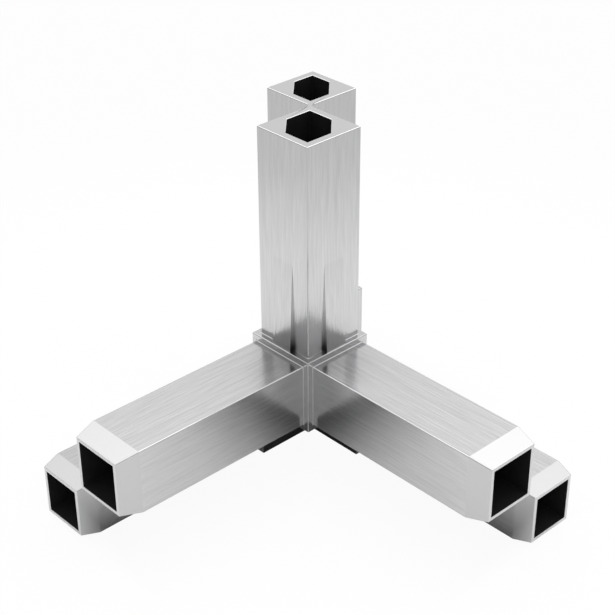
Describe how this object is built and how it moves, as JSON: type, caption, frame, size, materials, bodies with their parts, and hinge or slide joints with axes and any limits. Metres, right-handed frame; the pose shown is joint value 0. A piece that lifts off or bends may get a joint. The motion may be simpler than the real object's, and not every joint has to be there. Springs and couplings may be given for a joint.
{
  "type": "corner connector",
  "caption": "Corner piece for twin-cell square profiles: arms of paired hollow square spigots leave a stepped core at right angles.",
  "frame": {"origin": "on the foot of the core, below the point where the corner lines of all arms meet", "axes": "+X along the right arm, -Y along the left arm, +Z along the upright arm"},
  "size_m": [0.113, 0.113, 0.113],
  "materials": {
    "brushed_metal": "brushed lengthwise"
  },
  "bodies": {
    "root": {"connector_body": "brushed_metal"}
  },
  "joints": []
}
